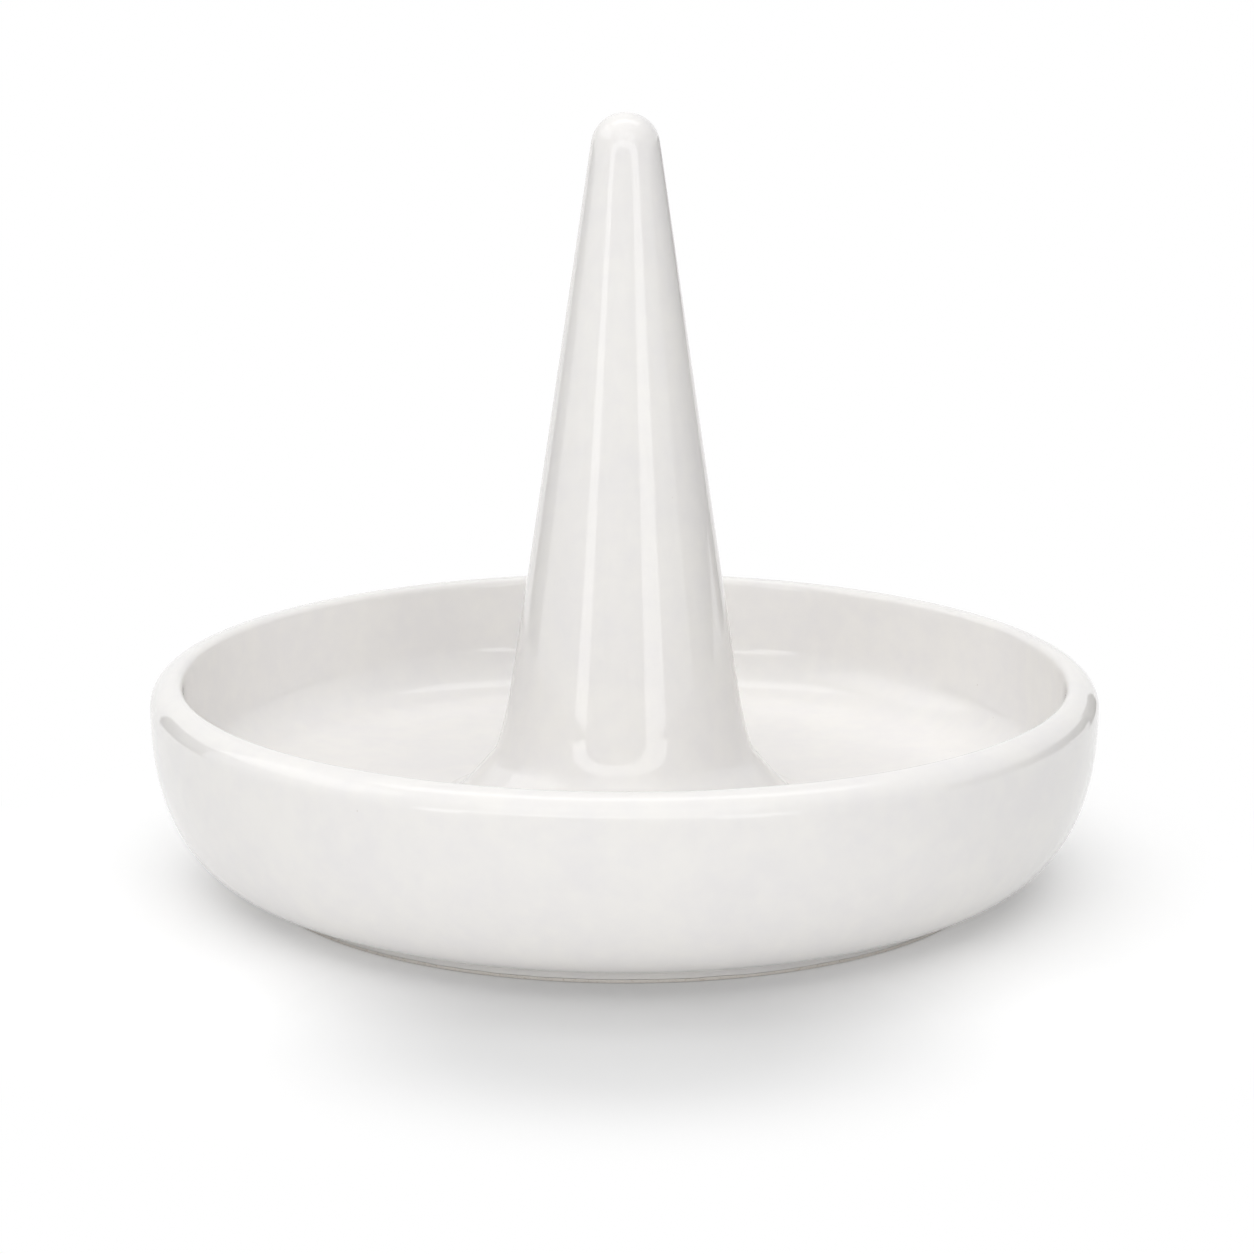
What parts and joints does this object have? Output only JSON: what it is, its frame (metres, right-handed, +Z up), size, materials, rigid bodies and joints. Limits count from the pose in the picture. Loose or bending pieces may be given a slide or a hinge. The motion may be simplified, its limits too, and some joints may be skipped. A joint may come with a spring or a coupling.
{
  "type": "ring holder",
  "caption": "Round glazed ceramic dish with a tall tapering cone in its middle, which holds finger rings over a trough for small jewellery.",
  "frame": {"origin": "centre of the foot ring, on the plane that the dish stands on", "axes": "+Z up along the axis of the dish and the cone, +Y away from the front of the picture, +X to its right"},
  "size_m": [0.105, 0.105, 0.0852],
  "materials": {
    "dish_glaze": "gloss",
    "cone_glaze": "gloss",
    "bare_clay": "matte"
  },
  "bodies": {
    "root": {"dish": "dish_glaze", "ring_cone": "cone_glaze", "luting_slip": "bare_clay"}
  },
  "joints": []
}
